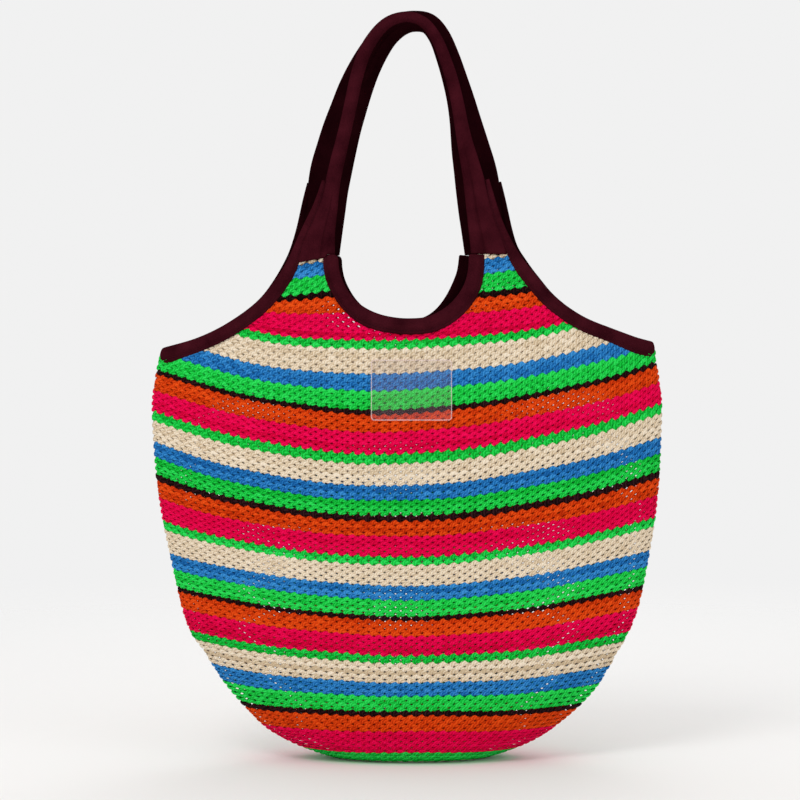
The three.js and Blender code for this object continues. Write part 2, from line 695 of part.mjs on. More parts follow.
panels.forEach((p) => {
  add("panel_" + p.name, largest(panelSolid(p.side, p.folds, p.key, p.neck, 0)), {
    color: p.side < 0 ? 0xd84a6e : 0xc94a6a,
    roughness: 0.9,
  });
});
arms.forEach((arm) => {
  add(arm.name, largest(armBar(arm, 0).subtract(rooms[0]).subtract(rooms[1])), BURGUNDY);
});
panels.forEach((p, i) => {
  add("neck_binding_" + p.name, largest(neckBar(necks[i], 0).subtract(rooms[i])), BURGUNDY);
});
[HANDLE_FRONT, HANDLE_BACK].forEach((rows, i) => {
  let handle = handleSolid(rows).subtract(hemCutter()).subtract(rooms[i]);
  for (const arm of arms) handle = handle.subtract(armBar(arm, GAP));
  handle = handle.subtract(neckBar(necks[i], GAP));
  add("handle_" + panels[i].name, largest(handle), BURGUNDY);
});
add("clear_patch", patchSolid(), { color: 0xe9e4e6, roughness: 0.15 });

// The origin goes under the middle of the whole.
const box = new THREE.Box3().setFromObject(group);
group.position.set(-(box.min.x + box.max.x) / 2, -(box.min.y + box.max.y) / 2, -box.min.z);

export default group;
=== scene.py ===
import math

import bpy
import numpy as np
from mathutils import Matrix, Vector


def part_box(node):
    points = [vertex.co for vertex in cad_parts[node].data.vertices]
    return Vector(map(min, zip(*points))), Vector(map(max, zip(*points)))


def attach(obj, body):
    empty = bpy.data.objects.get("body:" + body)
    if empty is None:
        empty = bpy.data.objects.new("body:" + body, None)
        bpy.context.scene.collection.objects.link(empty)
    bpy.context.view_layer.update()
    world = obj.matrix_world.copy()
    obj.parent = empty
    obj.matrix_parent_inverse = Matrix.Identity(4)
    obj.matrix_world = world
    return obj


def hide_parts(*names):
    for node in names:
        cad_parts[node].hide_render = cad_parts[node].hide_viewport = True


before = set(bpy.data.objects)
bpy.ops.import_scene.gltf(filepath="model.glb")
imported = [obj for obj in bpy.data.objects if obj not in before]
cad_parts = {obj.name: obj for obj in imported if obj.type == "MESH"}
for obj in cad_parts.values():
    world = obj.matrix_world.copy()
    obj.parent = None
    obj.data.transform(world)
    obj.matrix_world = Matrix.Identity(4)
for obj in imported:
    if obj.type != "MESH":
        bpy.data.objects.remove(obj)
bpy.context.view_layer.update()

# Shoulder bag of striped openwork yarn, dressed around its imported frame. Tables are in millimetres in the
# bag's own coordinates: +Z up, front towards -Y. Meshes are made in metres in the frame.


def named_rows(columns, rows):
    """Rows of values under these column names."""
    return [dict(zip(columns.split(), row)) for row in rows]


# Where the bag's own coordinates lie in the frame
MM = 0.001
PATCH = dict(left=-31.0, right=36.5, low=289.0, high=340.0, thick=1.0, corner=3.0, lift=0.4)
patch_low, patch_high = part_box("clear_patch")
SHIFT_X = (patch_low[0] + patch_high[0]) / 2 - MM * (PATCH["left"] + PATCH["right"]) / 2

# Body of the bag
CLOTH = 3.0
BULGE_POWER = 2.4
BULGE_ROUND = 0.6
GROUND = 1.5  # middle of the cloth where it lies on the ground
HORN_TOP = dict(left=428.2, right=428.6)  # where the panels end, under the handles' hems
FLOOR = named_rows("deep left right", [
    (0, -38, 42), (10, -48, 52), (19, -55, 59), (27, -61, 65),
])
LEVELS = named_rows("z deep left right", [
    (1.5, 27, -61, 65), (2.2, 31, -66, 70), (4, 35.5, -72.5, 76.5), (7, 39.6, -81.5, 85.5),
    (11, 43, -92, 96), (17, 46.2, -105, 109), (26, 49, -119.5, 123), (40, 51.4, -134.5, 140.5),
    (57, 53.2, -149.5, 157), (75, 54.4, -162.5, 168.5), (90, 55, -171.5, 177),
    (108, 55.3, -184, 187), (128, 55.2, -191, 194.5), (150, 54.6, -196, 199.5),
    (180, 52.8, -202.5, 205), (210, 50.2, -208.5, 209.5), (240, 47.2, -212.5, 212.3),
    (270, 44.2, -214.8, 213.6), (300, 41.4, -216, 214.2), (325, 39, -213, 211.5),
    (347, 37, -209.5, 208.5), (375, 34.6, -209.5, 208.5), (405, 32, -209.5, 208.5),
    (440, 29.2, -209.5, 208.5), (480, 26.2, -209.5, 208.5), (520, 23.4, -209.5, 208.5),
])
# Soft dents (negative) and swells: where, how far they reach across and up, how deep.
FRONT_FOLDS = named_rows("x z wide tall deep", [
    (-62, 330, 26, 70, -2.6), (70, 322, 30, 62, -3.0), (6, 250, 60, 50, 2.2),
    (-128, 215, 40, 60, 2.4), (140, 150, 34, 55, -2.2), (-60, 92, 46, 34, -1.8),
    (72, 66, 40, 26, 1.8),
])
BACK_FOLDS = named_rows("x z wide tall deep", [
    (-70, 318, 30, 66, -3.0), (58, 334, 26, 60, -2.2), (-20, 240, 64, 46, 2.4),
    (120, 200, 40, 60, 2.2), (-136, 140, 36, 50, -2.4), (40, 84, 44, 32, -1.8),
])

# Armhole edges, from the side corner to the binding's tip on the handles.
ARM_LEFT = named_rows("front back z wide", [
    (-194, -194, 346.2, 13.5), (-177, -178, 351.9, 12.2), (-158, -160, 360.3, 12),
    (-142, -144.5, 369.8, 12), (-128.4, -131, 379.5, 12), (-116.5, -119.5, 390.6, 12),
    (-106.3, -110, 403.8, 12), (-98.4, -103, 416.5, 11), (-93, -97.5, 431, 8.6),
    (-85, -92, 450.5, 7.4), (-77.3, -89, 467.5, 6), (-73.2, -86.6, 480, 4.8),
    (-70.6, -84.6, 490, 3.4),
])
ARM_RIGHT = named_rows("front back z wide", [
    (192, 192, 351.6, 13.5), (171, 173, 360, 12.2), (149, 151, 368.5, 12), (134.3, 137, 377, 12),
    (121.1, 124.5, 386.8, 12), (113, 116.5, 394.8, 12), (105, 109, 404.3, 12),
    (97, 101.5, 414, 11.5), (90.4, 95.5, 423.8, 10.4), (85.2, 90, 434, 8.6),
    (77.6, 85.8, 450.5, 7.2), (72, 82.6, 467.5, 6), (68.9, 80.2, 480.3, 4.8),
    (66.4, 78.2, 491, 3.4),
])
# Upper ends of the side seams.
CORNER = dict(left=(-209.5, 341.5), right=(208.5, 346.8))
NECK_FRONT = named_rows("x z wide", [
    (-65, 427.9, 13), (-64.6, 418.2, 13), (-62.5, 408, 13), (-57.8, 397.8, 13), (-50.2, 386.7, 13),
    (-39.1, 377.4, 14), (-25.5, 371.4, 14), (-11, 368.5, 13.8), (2.6, 367.8, 13.8), (17, 369.1, 14),
    (29.4, 374.1, 14.4), (40.3, 382, 14.4), (48.9, 392.1, 14.4), (54.5, 403, 14.3),
    (56.9, 414.8, 13.6), (57.4, 427.9, 13),
])
NECK_BACK = named_rows("x z wide", [
    (-63, 427.9, 13), (-62.8, 418.2, 13), (-60.8, 407.5, 13), (-56.4, 397, 13), (-49.4, 386.2, 13),
    (-39.8, 377, 13), (-28, 370.6, 13), (-15.5, 367.2, 13), (-3.5, 366, 13), (9, 367, 13),
    (20.2, 371.2, 13), (29.6, 378.6, 13), (37.4, 388.8, 13), (43.6, 400.6, 13), (48.4, 413.5, 13),
    (50.4, 427.9, 13),
])

# Handles, left foot to right foot: middle of the strip, its depth in the bag, its width and thickness, and
# how far it has closed from a flat web with an inner fold (0) to a roll (1).
HANDLE_FRONT = named_rows("x z y wide thick roll", [
    (-77, 419, -28.6, 31, 8.4, 0), (-75.4, 433.5, -27.6, 28.5, 8.4, 0),
    (-71.6, 450.5, -26.2, 21.5, 8.6, 0.15), (-67, 467.5, -25, 16, 9.4, 0.45),
    (-64.6, 480.3, -24, 13.4, 10.4, 0.8), (-62.3, 493, -23, 12.4, 11.4, 1),
    (-58.5, 510, -21.6, 12, 12, 1), (-53.9, 529, -20, 11.2, 12.4, 1),
    (-49, 550.8, -18.2, 10.9, 12.8, 1), (-43.9, 575, -16.6, 11, 13, 1),
    (-37.2, 596.7, -15.4, 11, 13, 1), (-28, 612.4, -14.6, 10.4, 13, 1),
    (-17.5, 623, -14.2, 9.6, 13, 1), (-5.6, 627.6, -14, 9, 13, 1), (5.4, 627, -14, 8.9, 13, 1),
    (15.6, 621.2, -14.2, 9, 13, 1), (24.6, 608.4, -14.6, 9.4, 13, 1),
    (31.5, 591.4, -15.6, 10, 12.8, 1), (37.2, 573.8, -16.8, 10.4, 12.6, 1),
    (41.4, 555.9, -18, 10.8, 12.4, 1), (44.6, 538, -19.4, 11.6, 12, 1),
    (47.6, 523, -20.6, 13, 11.6, 0.9), (51.4, 507, -21.8, 15.4, 10.8, 0.7),
    (54.8, 492, -23, 17.6, 10, 0.45), (57.2, 479, -24, 19.4, 9.2, 0.25),
    (59.6, 465.5, -25, 21.4, 8.8, 0.1), (62.8, 450.5, -26.2, 24.6, 8.6, 0),
    (66.6, 434, -27.6, 29, 8.4, 0), (68.6, 420, -28.4, 31, 8.4, 0),
])
HANDLE_BACK = named_rows("x z y wide thick roll", [
    (-78, 419, 28.6, 36, 8.4, 0), (-75.6, 433.5, 27.6, 35, 8.4, 0),
    (-72.6, 450.5, 26.2, 33.6, 8.2, 0), (-70.2, 467.5, 25, 33.6, 8, 0),
    (-68.5, 484.5, 23.6, 35, 7.8, 0), (-65.5, 501.5, 22.4, 35.8, 7.6, 0),
    (-61.2, 518.5, 21, 34.4, 7.6, 0), (-56.5, 535.5, 19.6, 32.8, 7.6, 0.05),
    (-50.8, 552.5, 18.4, 31, 7.8, 0.1), (-44.8, 569.5, 17.2, 29.4, 8.2, 0.2),
    (-37.4, 586.5, 16.2, 27, 8.8, 0.3), (-28.4, 602.5, 15.4, 24.6, 9.4, 0.45),
    (-18.4, 615.4, 14.8, 22, 10, 0.6), (-6.6, 624, 14.4, 19.6, 10.6, 0.8),
    (5, 627, 14.2, 18, 11, 1), (17.6, 624.8, 14.2, 17.8, 11, 1),
    (26.8, 613.8, 14.4, 18.6, 10.8, 0.9), (33.8, 597, 15, 20, 10.2, 0.75),
    (39.8, 578.6, 16, 21.4, 9.4, 0.55), (44.8, 561, 17.2, 23.6, 8.6, 0.35),
    (48.9, 543, 18.6, 27, 8, 0.15), (53.4, 520, 20.4, 32.8, 7.6, 0),
    (57.3, 501.5, 22, 36.4, 7.6, 0), (59.9, 484.5, 23.4, 37.8, 7.8, 0),
    (61.4, 467.5, 24.8, 36.6, 8, 0), (64, 450.5, 26.2, 36.6, 8.2, 0),
    (66.6, 433.5, 27.6, 36.8, 8.4, 0), (68.8, 419, 28.6, 37, 8.4, 0),
])
# Lower edge of each handle: its level at the outer end and at the inner fold's foot, and where the fold is.
HEM_LEFT = dict(outer=420.5, inner=425.5, step=-68.5, fold=428.2)
HEM_RIGHT = dict(outer=428.0, inner=428.4, step=61.5, fold=428.4)
HEM_FAR = 95.0

# Stripes down the middle of a panel: the level where each starts and its number of courses.
STRIPES = named_rows("yarn top courses", [
    ("cream", 432.0, 5), ("blue", 417.1, 4), ("green", 405.7, 5), ("black", 391.8, 1),
    ("orange", 387.6, 4), ("pink", 375.6, 7), ("green", 355.5, 2), ("cream", 348.5, 6),
    ("blue", 327.8, 4), ("green", 313.9, 5), ("black", 297.9, 1), ("orange", 294.1, 5),
    ("pink", 279.6, 7), ("green", 260.8, 2), ("cream", 252.9, 6), ("blue", 234.9, 4),
    ("green", 222.8, 5), ("black", 209.8, 1), ("orange", 205.3, 4), ("pink", 193.0, 7),
    ("green", 175.5, 2), ("cream", 168.8, 6), ("blue", 151.4, 4), ("green", 139.6, 5),
    ("black", 125.9, 1), ("orange", 122.4, 4), ("pink", 109.4, 6), ("green", 92.8, 2),
    ("cream", 86.4, 5), ("blue", 70.1, 4), ("green", 58.7, 4), ("black", 45.9, 1),
    ("orange", 41.9, 4), ("pink", 28.6, 7), ("green", 9.8, 5), ("cream", 1.5, 9),
])
# How far a course rises towards the sides of the bag: on the left and right, 170 mm from its lowest point,
# and how sharply.
RISE = named_rows("level left left_power right right_power", [
    (0, 0, 2, 0, 2.5), (9, 0.5, 1.6, 0, 2.5), (28.6, 2.8, 1.6, 0.3, 2.5), (44, 5, 1.6, 1.5, 2.2),
    (59, 11, 1.62, 4.7, 1.9), (70.5, 13.7, 1.52, 6.9, 1.85), (90, 16.8, 1.5, 9.9, 1.95),
    (110, 18.5, 1.54, 12, 2.0), (124.6, 19.5, 1.57, 13.4, 1.87), (140, 20.5, 1.63, 14.4, 1.9),
    (152, 21, 1.65, 15.2, 1.92), (173, 22.3, 1.87, 16.4, 1.99), (193.4, 23.1, 2.06, 16.8, 2.05),
    (208, 24.4, 2.04, 18.4, 2.02), (223.5, 25.8, 2.1, 20, 1.98), (236, 26.2, 2.08, 21, 1.94),
    (257.5, 25.9, 2.0, 22.6, 1.87), (280, 25.5, 2.0, 22.6, 1.85), (296.6, 25.4, 2.0, 22.7, 1.84),
    (314.6, 23.9, 2.2, 21.5, 1.91), (328.7, 24, 2.5, 20.7, 2.1), (353, 25, 2.6, 19, 2.2),
    (376, 24, 2.3, 18, 2.3), (420, 23, 2.0, 26, 2.0), (440, 23, 2.0, 26, 2.0),
])
RISE_REACH = 170.0
LOWEST_X = -19.5  # where the courses are lowest
# Beside the left of the neckline the courses lean up towards it: by how much, and about which place.
HORN_LEAN = 0.21
HORN_MIDDLE = -85.0
HORN_START = 366.0  # level above which they lean
HORN_FADE = 26.0
HORN_REACH = 40.0

# The worked stitch
PITCH = 8.9  # length of one full wave of a strand
STEPS_PER_HALF = 3
SIDES = 6  # sides of a strand's section
EDGE_OUT = 1.1  # how far the yarn stands out past the side seam's line
EDGE_POWER = 15  # and how suddenly it does
COURSE_SAMPLES = 721
FIRST_REACH = 100.0  # half width that a course's search for its side seams starts from
SETTLE_ROUNDS = 40
FEWEST_RINGS = 3  # a shorter strand is left out
NEARBY = 0.8  # distance to the two lines that give the direction across a course
# How each yarn is worked: how far a strand swings up and down and how wide it is at the stripe's first and
# last course, as shares of the course's height.
WORK = dict(
    cream=dict(swing=0.35, first=1.4, last=1.14),
    blue=dict(swing=0.35, first=1.34, last=1.28),
    green=dict(swing=0.36, first=1.34, last=1.2),
    black=dict(swing=0.4, first=1.17, last=1.17),
    orange=dict(swing=0.35, first=1.32, last=1.24),
    pink=dict(swing=0.34, first=1.35, last=1.26),
)
NARROW = dict(swing=0.46, first=1.28, last=1.28)  # the two-course green stripes
NARROW_COURSES = 2
STRAND_THICK = 1.2
BLACK_THICK = 1.3  # how much thicker the black yarn is
OVER = 0.45  # how far a strand passes in front of and behind its neighbours
SLANT = 0.2  # how far strands that run down to the right stand proud
# Slow waves of hand-made work: size, length along a course, length down the panel and start.
DRIFT_WAVES = [(0.45, 37, 61, 0), (0.3, 17, -43, 0.7)]  # a course's way up and down
LOOSE_WAVE = (0.05, 29, 19, 0)  # the swing of its strand, as a share
# Scatter from ring to ring, and of the colour from course to course and from stitch to stitch.
LOOSE_SCATTER = 0.04
WIDE_SCATTER = 0.03
THICK_SCATTER = 0.04
COURSE_TONE = 0.12
STITCH_TONE = 0.1
SEED = 7

# Bindings and their stitches
BINDING_THICK = 6.6
BINDING_POWER = 2.2
BINDING_SIDES = 28
GROOVE_DEEP = 0.42  # share of the thickness that the sewn groove takes off each face
GROOVE_WIDE = 0.08
GROOVE_AT = 0.52  # the groove's place, as a share of half the width, towards the panel
NECK_THICK = 8.6
NECK_END_ROUND = dict(left=5.0, right=0.8)  # length over which an end narrows
NECK_END_SMALL = dict(left=0.5, right=0.9)  # and the share of the width that it narrows to
NECK_END_THICK = 0.8  # least share of the thickness
ARM_TIP_THICK = 4.2
ARM_TIP_LONG = 60.0  # height over which the binding thins to its tip
CORNER_WIDE = 15.0
CORNER_STEPS = (1, 0.999, 0.99, 0.96, 0.9, 0.8, 0.65, 0.5, 0.3)
ARM_STEP = 2.5
NECK_STEP = 0.8
STITCH_PITCH = 3.1
STITCH_MARGIN = 4.0
STITCH_DEEP = 0.29  # where the thread lies, as a share of the binding's thickness
# One stitch: positions along it, its height over the groove and its radius there.
STITCH_RUN = np.array([0.0, 0.35, 1.15, 1.95, 2.3])
STITCH_LIFT = np.array([-0.25, 0.05, 0.16, 0.05, -0.25])
STITCH_SIZE = np.array([0.12, 0.3, 0.34, 0.3, 0.12])


def unit(v):
    return v / np.maximum(np.linalg.norm(v, axis=-1, keepdims=True), 1e-9)


def run_along(line):
    """Distance of each place from the start of the line."""
    return np.concatenate([[0], np.cumsum(np.linalg.norm(np.diff(line, axis=0), axis=1))])


def at_places(at, keys, *tables):
    """Each table's columns at these positions between its keys."""
    return [np.stack([np.interp(at, keys, column) for column in table.T], -1) for table in tables]


def ring_quads(count, around, closed=False):
    """Quads between rings of points, and from the last ring to the first if closed."""
    i = np.arange(count if closed else count - 1)[:, None]
    i2 = (i + 1) % count
    k = np.arange(around)[None, :]
    k2 = (k + 1) % around
    corners = (i * around + k, i * around + k2, i2 * around + k2, i2 * around + k)
    return np.stack(corners, -1).reshape(-1, 4)


def smooth_column(rows, key, name):
    """Curve through rows that never passes a row's value between two rows."""
    keys = np.array([r[key] for r in rows], float)
    values = np.array([r[name] for r in rows], float)
    slope = np.diff(values) / np.diff(keys)
    tangent = np.zeros(len(keys))
    tangent[0], tangent[-1] = slope[0], slope[-1]
    for i in range(1, len(keys) - 1):
        a, b = slope[i - 1], slope[i]
        tangent[i] = 0.0 if a * b <= 0 else 2 * a * b / (a + b)

    def curve(at):
        at = np.asarray(at, float)
        i = np.clip(np.searchsorted(keys, at, side="right") - 1, 0, len(keys) - 2)
        h = keys[i + 1] - keys[i]
        t = np.clip((at - keys[i]) / h, 0, 1)
        t2, t3 = t * t, t * t * t
        return (
            (2 * t3 - 3 * t2 + 1) * values[i]
            + (t3 - 2 * t2 + t) * h * tangent[i]
            + (3 * t2 - 2 * t3) * values[i + 1]
            + (t3 - t2) * h * tangent[i + 1]
        )

    return curve


deep_at = smooth_column(LEVELS, "z", "deep")
left_at = smooth_column(LEVELS, "z", "left")
right_at = smooth_column(LEVELS, "z", "right")
rise_left = smooth_column(RISE, "level", "left")
rise_right = smooth_column(RISE, "level", "right")
power_left = smooth_column(RISE, "level", "left_power")
power_right = smooth_column(RISE, "level", "right_power")


def bulge(share):
    return (1 - np.clip(np.abs(share), 0, 1) ** BULGE_POWER) ** BULGE_ROUND


def depth_at(folds, x, z):
    """Distance of a panel's middle from the bag's middle plane; folds fade out at the seams."""
    left, right = left_at(z), right_at(z)
    share = bulge((2 * x - left - right) / (right - left))
    depth = deep_at(z) * share
    for f in folds:
        reach = ((x - f["x"]) / f["wide"]) ** 2 + ((z - f["z"]) / f["tall"]) ** 2
        depth = depth + f["deep"] * np.exp(-reach) * np.minimum(share * 2, 1)
    return depth


def surface_point(side, folds, x, z):
    x, z = np.asarray(x, float), np.asarray(z, float)
    return np.stack([x, side * depth_at(folds, x, z), z], axis=-1)


def surface_normal(side, folds, x, z):
    step = 0.5
    slope_x = (depth_at(folds, x + step, z) - depth_at(folds, x - step, z)) / (2 * step)
    slope_z = (depth_at(folds, x, z + step) - depth_at(folds, x, z - step)) / (2 * step)
    return unit(np.stack([-slope_x, np.full_like(slope_x, side), -slope_z], axis=-1))


def smooth_rows(rows, names, per_span):
    """Columns of rows along smooth curves through them, this many positions to a span."""
    knots = np.array([[r[n] for n in names] for r in rows], float)
    out = []
    last = len(rows) - 1
    for i in range(last):
        p0, p1, p2, p3 = knots[max(i - 1, 0)], knots[i], knots[i + 1], knots[min(i + 2, last)]
        for k in range(per_span + (i == last - 1)):
            t = k / per_span
            out.append(
                0.5
                * (
                    2 * p1
                    + (p2 - p0) * t
                    + (2 * p0 - 5 * p1 + 4 * p2 - p3) * t * t
                    + (3 * p1 - p0 - 3 * p2 + p3) * t**3
                )
            )
    return np.array(out)


def even_steps(columns, places, step):
    """The columns at even distances along the line of places."""
    run = run_along(places)
    count = max(2, round(run[-1] / step))
    at = np.linspace(0, run[-1], count + 1)
    return [at_places(at, run, column.reshape(len(run), -1))[0] for column in columns]


def relax(places, rounds):
    for _ in range(rounds):
        inner = 0.5 * places[1:-1] + 0.25 * (places[:-2] + places[2:])
        places = np.concatenate([places[:1], inner, places[-1:]])
    return places


def panel_outline(key, neck):
    """Outline that a panel is cut to, seen from the front."""
    def arm(rows, top):
        curve = smooth_rows([dict(x=r[key], z=r["z"]) for r in rows], ["x", "z"], 3)
        return [tuple(p) for p in curve if p[1] < top]

    far, low = 300.0, -20.0
    right = arm(ARM_RIGHT, HORN_TOP["right"])
    left = arm(ARM_LEFT, HORN_TOP["left"])
    scoop = [tuple(p) for p in smooth_rows(neck, ["x", "z"], 2)]
    return [
        (-far, low),
        (far, low),
        (far, CORNER["right"][1]),
        CORNER["right"],
        *right,
        (right[-1][0] - 1, HORN_TOP["right"]),
        (neck[-1]["x"], HORN_TOP["right"]),
        *scoop[::-1],
        (neck[0]["x"], HORN_TOP["left"]),
        (left[-1][0] + 1, HORN_TOP["left"]),
        *left[::-1],
        CORNER["left"],
        (-far, CORNER["left"][1]),
    ]


def inside(outline, x, z):
    found = np.zeros(len(x), bool)
    for (x0, z0), (x1, z1) in zip(outline, outline[1:] + outline[:1]):
        if z0 == z1:
            continue
        crosses = (z0 > z) != (z1 > z)
        found ^= crosses & (x < x0 + (z - z0) * (x1 - x0) / (z1 - z0))
    return found


# Run of the cloth down the middle of a panel: distance from the base seam against level and depth.
PROFILE_Z = np.concatenate([np.linspace(GROUND, 30, 400), np.linspace(30.2, 520, 1200)])
PROFILE_RUN = FLOOR[-1]["deep"] + np.concatenate(
    [[0], np.cumsum(np.hypot(np.diff(PROFILE_Z), np.diff(deep_at(PROFILE_Z))))]
)


def rise(level, x):
    away = (x - LOWEST_X) / RISE_REACH
    up_left = rise_left(level) * np.abs(away) ** power_left(level)
    up_right = rise_right(level) * np.abs(away) ** power_right(level)
    share = np.clip((level - HORN_START) / HORN_FADE, 0, 1)
    lean = HORN_LEAN * share * np.clip(x - HORN_MIDDLE, -HORN_REACH, HORN_REACH)
    return np.where(away < 0, up_left + lean, up_right)


def course_curve(side, folds, run, share):
    """Middle line of a course that lies this far from the base seam, from side seam to side seam."""
    floor_run = FLOOR[-1]["deep"]
    if run <= floor_run:
        keys = [r["deep"] for r in FLOOR]
        left = np.interp(run, keys, [r["left"] for r in FLOOR])
        right = np.interp(run, keys, [r["right"] for r in FLOOR])
        x = (left + right) / 2 + share * (right - left) / 2
        return np.stack([x, side * run * bulge(share), np.full_like(x, GROUND)], -1)
    level = np.interp(run, PROFILE_RUN, PROFILE_Z)
    x = share * FIRST_REACH
    for _ in range(SETTLE_ROUNDS):
        z = level + rise(level, x)
        left, right = left_at(z), right_at(z)
        x = 0.5 * x + 0.5 * ((left + right) / 2 + share * (right - left) / 2)
    line = surface_point(side, folds, x, level + rise(level, x))
    line[:, 0] += EDGE_OUT * share**EDGE_POWER
    return line


def course_list():
    """Distance from the base seam, height and yarn of every course, top first."""
    tops = [np.interp(s["top"], PROFILE_Z, PROFILE_RUN) for s in STRIPES]
    courses = []
    for i, stripe in enumerate(STRIPES):
        bottom = tops[i + 1] if i + 1 < len(STRIPES) else 0.0
        tall = (tops[i] - bottom) / stripe["courses"]
        for k in range(stripe["courses"]):
            row = dict(run=tops[i] - (k + 0.5) * tall, tall=tall, yarn=stripe["yarn"])
            row["part"] = (k + 0.5) / stripe["courses"]
            row["courses"] = stripe["courses"]
            courses.append(row)
    return courses


def slow_wave(s, run, size, along, down, start):
    return size * np.sin(s / along + run / down + start)


def strand_lines(side, folds, outline, number, course, rng):
    """The strands of one course, each with the places, the frame and the sizes of its rings."""
    share = np.sin(np.linspace(-math.pi / 2, math.pi / 2, COURSE_SAMPLES))
    run, tall = course["run"], course["tall"]
    line = course_curve(side, folds, run, share)
    above = course_curve(side, folds, run + NEARBY, share)
    below = course_curve(side, folds, max(run - NEARBY, 0.05), share)
    along = unit(np.gradient(line, axis=0))
    up = unit(above - below)
    normal = side * unit(np.cross(along, up))
    distance = run_along(line)
    distance -= np.interp(LOWEST_X, line[:, 0], distance)
    step = PITCH / 2 / STEPS_PER_HALF
    first, last = math.ceil(distance[0] / step), math.floor(distance[-1] / step)
    index = np.arange(first, last + 1)
    s = index * step
    s[0], s[-1] = distance[0], distance[-1]
    base, up, normal = at_places(s, distance, line, up, normal)
    up, normal = unit(up), unit(normal)
    theta = math.pi * index / STEPS_PER_HALF + math.pi * (number % 2)
    drift = sum(slow_wave(s, run, *wave) for wave in DRIFT_WAVES)
    loose = 1 + slow_wave(s, run, *LOOSE_WAVE) + LOOSE_SCATTER * rng.standard_normal(len(s))
    work = WORK[course["yarn"]]
    if course["yarn"] == "green" and course["courses"] == NARROW_COURSES:
        work = NARROW
    swing = work["swing"] * tall * loose
    cosine, sine = np.cos(theta), np.sin(theta)
    places = base + up * (swing * cosine + drift)[:, None]
    places += normal * (-OVER * cosine + SLANT * sine)[:, None]
    share_wide = work["first"] + (work["last"] - work["first"]) * course["part"]
    wide = share_wide * tall * (1 + WIDE_SCATTER * rng.standard_normal(len(s)))
    thick = STRAND_THICK * (1 + THICK_SCATTER * rng.standard_normal(len(s)))
    if course["yarn"] == "black":
        thick = thick * BLACK_THICK
    tone = np.full(len(s), 0.5 + COURSE_TONE * rng.standard_normal())
    stitches = rng.standard_normal(len(s) // STEPS_PER_HALF + 1)
    tone += STITCH_TONE * np.repeat(stitches, STEPS_PER_HALF)[: len(s)]
    keep = inside(outline, base[:, 0], base[:, 2])
    edges = np.flatnonzero(np.diff(np.concatenate([[0], keep.astype(int), [0]])))
    whole = dict(places=places, normal=normal, wide=wide, thick=thick, along=s, tone=tone)
    return [
        {name: values[start:stop] for name, values in whole.items()}
        for start, stop in zip(edges[::2], edges[1::2])
        if stop - start >= FEWEST_RINGS
    ]


def tube_quads(count):
    """Quads of a six-sided tube of this many rings, then the quads that close its ends."""
    first = np.array([[3, 2, 1, 0], [5, 4, 3, 0]])
    last = (count - 1) * SIDES + np.array([[0, 1, 2, 3], [0, 3, 4, 5]])
    return np.concatenate([ring_quads(count, SIDES), first, last])


def strand_arrays(strand):
    """Rings round one strand, its quads and their places along and round the yarn."""
    places = strand["places"]
    tangent = unit(np.gradient(places, axis=0))
    across = unit(np.cross(strand["normal"], tangent))
    normal = unit(np.cross(tangent, across))
    angle = 2 * math.pi * np.arange(SIDES) / SIDES
    half_wide = (strand["wide"] / 2)[:, None, None]
    half_thick = (strand["thick"] / 2)[:, None, None]
    ring = places[:, None, :] + across[:, None, :] * half_wide * np.cos(angle)[None, :, None]
    ring = ring + normal[:, None, :] * half_thick * np.sin(angle)[None, :, None]
    count = len(places)
    u = strand["along"]
    u0, u1 = np.repeat(u[:-1], SIDES), np.repeat(u[1:], SIDES)
    v0 = np.tile(np.arange(SIDES) / SIDES, count - 1)
    v1 = v0 + 1 / SIDES
    corners = ((u0, v0), (u0, v1), (u1, v1), (u1, v0))
    uv = np.stack([np.stack(corner, -1) for corner in corners], 1)
    cap_uv = np.zeros((4, 4, 2))
    cap_uv[:2, :, 0] = u[0]
    cap_uv[2:, :, 0] = u[-1]
    return dict(
        points=ring.reshape(-1, 3),
        quads=tube_quads(count),
        uv=np.concatenate([uv, cap_uv]).reshape(-1, 2),
        tone=np.repeat(strand["tone"], SIDES),
    )


# Painted shade on the faces of bars that look inwards, towards the bag's middle plane, laid into their
# "inner" weight
MIDDLE_BLEND = 10.0  # from the bag's middle plane to where a face is fully in front or behind
SHADE_START = 0.1  # how far a face may look inwards or outwards where the painted shade starts
SHADE_SPAN = 0.8


def mesh_object(name, points, quads, uv=None, tone=None):
    """A smooth mesh of quads, from points in the bag's own millimetres."""
    mesh = bpy.data.meshes.new(name)
    points = np.asarray(points, float) * MM
    points[:, 0] += SHIFT_X
    quads = np.asarray(quads)
    mesh.vertices.add(len(points))
    mesh.vertices.foreach_set("co", points.ravel())
    mesh.loops.add(quads.size)
    mesh.loops.foreach_set("vertex_index", quads.ravel())
    mesh.polygons.add(len(quads))
    mesh.polygons.foreach_set("loop_start", np.arange(len(quads)) * 4)
    mesh.polygons.foreach_set("loop_total", np.full(len(quads), 4))
    mesh.polygons.foreach_set("use_smooth", np.ones(len(quads), bool))
    if uv is not None:
        layer = mesh.uv_layers.new(name="along")
        layer.data.foreach_set("uv", np.asarray(uv, float).ravel())
    if tone is not None:
        mesh.attributes.new("tone", "FLOAT", "POINT").data.foreach_set("value", tone)
    mesh.update(calc_edges=True)
    mesh.validate()
    piece = bpy.data.objects.new(name, mesh)
    bpy.context.scene.collection.objects.link(piece)
    return piece


